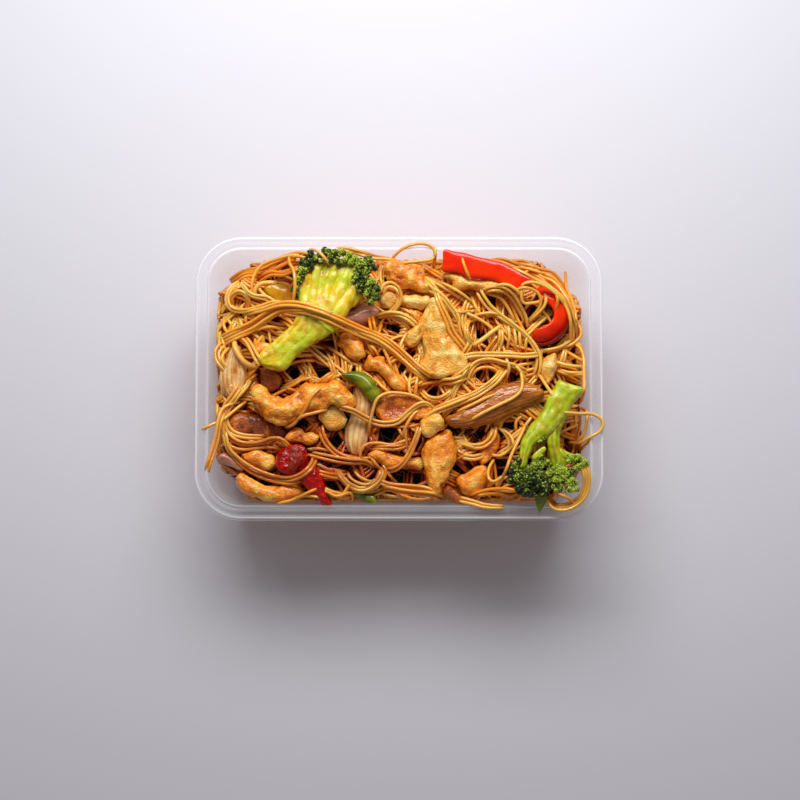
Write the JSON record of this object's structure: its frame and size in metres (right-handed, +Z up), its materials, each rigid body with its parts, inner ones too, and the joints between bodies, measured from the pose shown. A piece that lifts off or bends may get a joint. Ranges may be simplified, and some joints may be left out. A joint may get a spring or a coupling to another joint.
{
  "type": "noodle takeaway box",
  "caption": "Open rectangular clear plastic takeaway box filled with fried rice noodles, chicken pieces, broccoli, peppers, onion and chilli.",
  "frame": {"origin": "centre of the base, on the surface that the box stands on", "axes": "+X along the box's long side, +Y towards the far long side, +Z up"},
  "size_m": [0.172, 0.12, 0.0603],
  "materials": {
    "clear_plastic": "milky clear polypropylene, smooth and slightly glossy",
    "noodle": "cooked rice noodle, translucent amber, oily gloss",
    "broccoli": "yellow-green glossy stalk, dark green grainy buds",
    "red_pepper": "smooth glossy skin",
    "green_pepper": "smooth glossy skin",
    "yellow_pepper": "smooth glossy skin",
    "brown_onion": "fried, layered, glossy with oil",
    "soft_onion": "soft translucent layers, glossy with oil",
    "pink_onion": "soft layers with a purple edge",
    "chilli": "wrinkled glossy skin",
    "chicken": "fried and sauced, uneven, satin with oil"
  },
  "bodies": {
    "root": {"box": "clear_plastic", "noodles": "noodle", "broccoli_left": "broccoli", "broccoli_right": "broccoli", "pepper_strip": "red_pepper", "pepper_curl": "red_pepper", "pepper_green": "green_pepper", "bean_green": "green_pepper", "pepper_yellow": "yellow_pepper", "onion_wedge": "brown_onion", "onion_ring": "soft_onion", "onion_soft": "soft_onion", "onion_pink": "pink_onion", "onion_purple": "pink_onion", "chilli_round": "chilli", "chilli_tail": "chilli", "chicken_arm": "chicken", "chicken_bar": "chicken", "chicken_big": "chicken", "chicken_crisp": "chicken", "chicken_crumb": "chicken", "chicken_cube": "chicken", "chicken_dark": "chicken", "chicken_drop": "chicken", "chicken_ear": "chicken", "chicken_end": "chicken", "chicken_flake": "chicken", "chicken_fold": "chicken", "chicken_knob": "chicken", "chicken_left": "chicken", "chicken_lobe": "chicken", "chicken_long": "chicken", "chicken_nub": "chicken", "chicken_pale": "chicken", "chicken_slice": "chicken", "chicken_strip": "chicken", "chicken_top": "chicken", "chicken_under": "chicken", "chicken_white": "chicken"}
  },
  "joints": []
}
